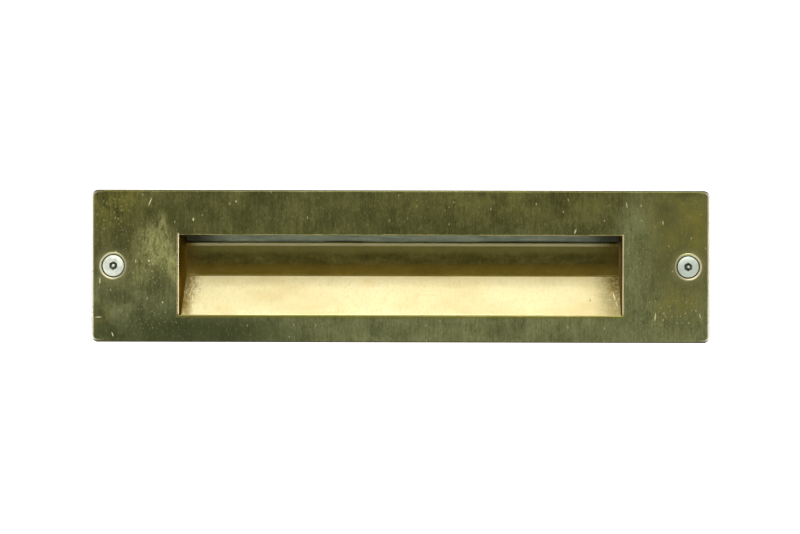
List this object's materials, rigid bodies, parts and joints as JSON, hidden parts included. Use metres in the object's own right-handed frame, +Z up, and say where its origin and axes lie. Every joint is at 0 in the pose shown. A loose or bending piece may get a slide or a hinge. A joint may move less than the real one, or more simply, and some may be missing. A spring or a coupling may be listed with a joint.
{
  "type": "wall letter plate",
  "caption": "Flush brass wall letter plate: a slim rectangular plate whose letter slot is closed by a recessed, bent, inward-swinging sprung flap, with a short hopper behind.",
  "frame": {"origin": "centre of the plate's outline, on the wall surface, which is the back of the gasket", "axes": "+X to the right seen from the front, +Y into the wall, +Z up; the plate's front faces -Y"},
  "size_m": [0.325, 0.0715, 0.08],
  "materials": {
    "aged_brass": "solid brass, raw and aged: olive brown patina with fine vertical scratches and burnished edges",
    "flap_brass": "bent brass sheet, brighter than the plate, satin with stains",
    "hopper_brass": "folded brass sheet, darkened",
    "shaft_steel": "drawn stainless steel, satin",
    "spring_steel": "drawn stainless spring wire",
    "bush_bronze": "sintered bronze",
    "black_rubber": "matt black rubber",
    "screw_steel": "stainless steel, fine turned finish"
  },
  "bodies": {
    "housing": {"front_plate": "aged_brass", "cheek_left": "hopper_brass", "cheek_right": "hopper_brass", "hopper_top": "hopper_brass", "hopper_floor": "hopper_brass", "return_spring_left": "spring_steel", "return_spring_right": "spring_steel", "shaft_bush_left": "bush_bronze", "shaft_bush_right": "bush_bronze", "wall_gasket": "black_rubber", "stop_buffers": "black_rubber", "wall_screws": "screw_steel", "hopper_screws": "screw_steel", "spring_pins": "screw_steel", "plate_studs": "screw_steel", "stud_washers": "screw_steel", "stud_nuts": "screw_steel", "buffer_screws": "screw_steel"},
    "flap_assembly": {"flap": "flap_brass", "hinge_shaft": "shaft_steel", "flap_screws": "screw_steel", "spring_collar_left": "shaft_steel", "spring_collar_right": "shaft_steel", "collar_grub_screws": "screw_steel"}
  },
  "joints": [
    {"name": "flap_hinge", "type": "hinge", "parent": "housing", "child": "flap_assembly", "pos_m": [0, 0.0208, 0.0167], "axis": [1, 0, 0], "range_deg": [0, 90], "stiffness_Nm_per_rad": 0.088, "springref_deg": -40.11, "deforming": ["return_spring_left", "return_spring_right"]}
  ]
}
